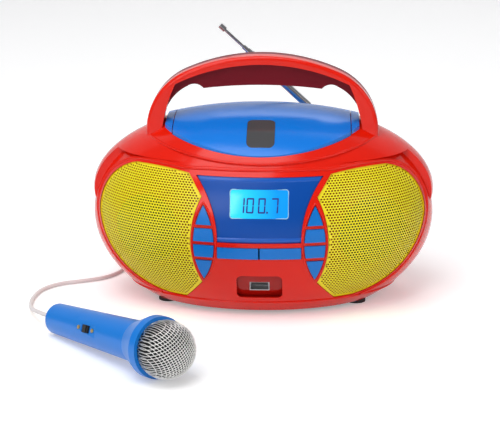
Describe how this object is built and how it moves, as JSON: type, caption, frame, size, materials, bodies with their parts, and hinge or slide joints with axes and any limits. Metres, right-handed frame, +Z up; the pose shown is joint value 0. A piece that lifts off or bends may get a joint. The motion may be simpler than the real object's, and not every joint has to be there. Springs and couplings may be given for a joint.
{
  "type": "cd boombox",
  "caption": "Egg-shaped portable CD boombox with arch carrying handle, hinged disc lid, speaker grilles, display, push keys, telescopic antenna and a wired hand microphone.",
  "frame": {"origin": "on the table under the middle of the case, in the plane of the feet", "axes": "+X to the right as seen from the front, front faces -Y, +Z up"},
  "size_m": [0.2827, 0.38, 0.1832],
  "materials": {
    "red_gloss": "polished",
    "red_grip": "satin",
    "blue_gloss": "polished",
    "yellow_metal": "satin",
    "display_glass": "polished",
    "smoky_glass": "polished",
    "black_rubber": "matte",
    "black_plastic": "matte",
    "paper": "matte",
    "steel": "brushed",
    "chrome": "polished",
    "silver_mesh": "satin",
    "brass": "satin",
    "board": "satin",
    "cord_jacket": "satin"
  },
  "bodies": {
    "case": {"front_cabinet": "red_gloss", "upper_shell": "red_gloss", "lower_shell": "red_gloss", "handle_front": "red_gloss", "handle_rear": "red_grip", "lid_cheeks": "blue_gloss", "display_panel": "blue_gloss", "left_grille": "yellow_metal", "right_grille": "yellow_metal", "display_lens": "display_glass", "feet": "black_rubber", "cd_deck": "black_plastic", "battery_bay": "black_plastic", "mains_inlet": "black_plastic", "mic_jack": "black_plastic", "usb_tongue": "black_plastic", "display_module": "black_plastic", "left_speaker_cone": "paper", "right_speaker_cone": "paper", "left_speaker_frame": "steel", "right_speaker_frame": "steel", "usb_socket": "steel", "hinge_pins": "steel", "guide_rods": "steel", "spindle_motor": "steel", "battery_contacts": "steel", "transformer": "steel", "main_board": "board", "key_board": "board", "cord_lead": "cord_jacket", "cord_coil": "cord_jacket", "cord_tail": "cord_jacket", "mic_plug": "cord_jacket"},
    "lid": {"cd_lid": "blue_gloss", "lid_window": "smoky_glass"},
    "spindle": {"spindle_hub": "black_plastic"},
    "sled": {"pickup_sled": "black_plastic"},
    "antenna_base": {"antenna_turret": "chrome"},
    "antenna_section_1": {"antenna_tube_1": "chrome"},
    "antenna_section_2": {"antenna_tube_2": "chrome"},
    "antenna_section_3": {"antenna_tube_3": "chrome"},
    "antenna_section_4": {"antenna_mast": "chrome"},
    "battery_cover": {"battery_door": "black_plastic"},
    "microphone": {"mic_body": "blue_gloss", "mic_collar": "blue_gloss", "mic_grille": "silver_mesh", "mic_switch_plate": "black_plastic", "mic_screws": "brass", "mic_gland": "cord_jacket"},
    "mic_switch": {"mic_slider": "black_plastic"},
    "left_key_1_body": {"left_key_1": "blue_gloss"},
    "left_key_2_body": {"left_key_2": "blue_gloss"},
    "left_key_3_body": {"left_key_3": "blue_gloss"},
    "left_key_4_body": {"left_key_4": "blue_gloss"},
    "right_key_1_body": {"right_key_1": "blue_gloss"},
    "right_key_2_body": {"right_key_2": "blue_gloss"},
    "right_key_3_body": {"right_key_3": "blue_gloss"},
    "right_key_4_body": {"right_key_4": "blue_gloss"},
    "left_wide_key_body": {"left_wide_key": "blue_gloss"},
    "right_wide_key_body": {"right_wide_key": "blue_gloss"}
  },
  "joints": [
    {"name": "lid_hinge", "type": "hinge", "parent": "case", "child": "lid", "pos_m": [0, 0.0668, 0.1182], "axis": [-1, 0, 0], "range_deg": [0, 10.5]},
    {"name": "antenna_swivel", "type": "hinge", "parent": "case", "child": "antenna_base", "pos_m": [0.0365, 0.065, 0.1085], "axis": [0, 0, 1], "range_deg": [-180, 90]},
    {"name": "antenna_tilt", "type": "hinge", "parent": "antenna_base", "child": "antenna_section_1", "pos_m": [0.0365, 0.065, 0.1175], "axis": [0, 1, 0], "range_deg": [-4, 75]},
    {"name": "antenna_slide_2", "type": "slide", "parent": "antenna_section_1", "child": "antenna_section_2", "axis": [-0.7385, 0, 0.6743], "range_m": [0, 0.045]},
    {"name": "antenna_slide_3", "type": "slide", "parent": "antenna_section_2", "child": "antenna_section_3", "axis": [-0.7385, 0, 0.6743], "range_m": [0, 0.045]},
    {"name": "antenna_slide_4", "type": "slide", "parent": "antenna_section_3", "child": "antenna_section_4", "axis": [-0.7385, 0, 0.6743], "range_m": [-0.016, 0.03]},
    {"name": "battery_door_hinge", "type": "hinge", "parent": "case", "child": "battery_cover", "pos_m": [0, 0.0685, 0.0301], "axis": [-1, 0, 0], "range_deg": [0, 100]},
    {"name": "spindle_turn", "type": "hinge", "parent": "case", "child": "spindle", "pos_m": [0, 0.0023, 0.1016], "axis": [0, 0, 1], "continuous": true},
    {"name": "sled_slide", "type": "slide", "parent": "case", "child": "sled", "axis": [1, 0, 0], "range_m": [0, 0.031]},
    {"name": "mic_lift", "type": "slide", "parent": "case", "child": "microphone", "axis": [0, 0, 1], "range_m": [0, 0.15]},
    {"name": "mic_switch_slide", "type": "slide", "parent": "microphone", "child": "mic_switch", "axis": [0.6717, -0.7356, 0.088], "range_m": [-0.0015, 0.0015]},
    {"name": "left_key_1_press", "type": "slide", "parent": "case", "child": "left_key_1_body", "axis": [0, 1, 0], "range_m": [0, 0.001], "stiffness_N_per_m": 400, "springref_m": -0.0005},
    {"name": "left_key_2_press", "type": "slide", "parent": "case", "child": "left_key_2_body", "axis": [0, 1, 0], "range_m": [0, 0.001], "stiffness_N_per_m": 400, "springref_m": -0.0005},
    {"name": "left_key_3_press", "type": "slide", "parent": "case", "child": "left_key_3_body", "axis": [0, 1, 0], "range_m": [0, 0.001], "stiffness_N_per_m": 400, "springref_m": -0.0005},
    {"name": "left_key_4_press", "type": "slide", "parent": "case", "child": "left_key_4_body", "axis": [0, 1, 0], "range_m": [0, 0.001], "stiffness_N_per_m": 400, "springref_m": -0.0005},
    {"name": "right_key_1_press", "type": "slide", "parent": "case", "child": "right_key_1_body", "axis": [0, 1, 0], "range_m": [0, 0.001], "stiffness_N_per_m": 400, "springref_m": -0.0005},
    {"name": "right_key_2_press", "type": "slide", "parent": "case", "child": "right_key_2_body", "axis": [0, 1, 0], "range_m": [0, 0.001], "stiffness_N_per_m": 400, "springref_m": -0.0005},
    {"name": "right_key_3_press", "type": "slide", "parent": "case", "child": "right_key_3_body", "axis": [0, 1, 0], "range_m": [0, 0.001], "stiffness_N_per_m": 400, "springref_m": -0.0005},
    {"name": "right_key_4_press", "type": "slide", "parent": "case", "child": "right_key_4_body", "axis": [0, 1, 0], "range_m": [0, 0.001], "stiffness_N_per_m": 400, "springref_m": -0.0005},
    {"name": "left_wide_key_press", "type": "slide", "parent": "case", "child": "left_wide_key_body", "axis": [0, 1, 0], "range_m": [0, 0.001], "stiffness_N_per_m": 400, "springref_m": -0.0005},
    {"name": "right_wide_key_press", "type": "slide", "parent": "case", "child": "right_wide_key_body", "axis": [0, 1, 0], "range_m": [0, 0.001], "stiffness_N_per_m": 400, "springref_m": -0.0005}
  ]
}
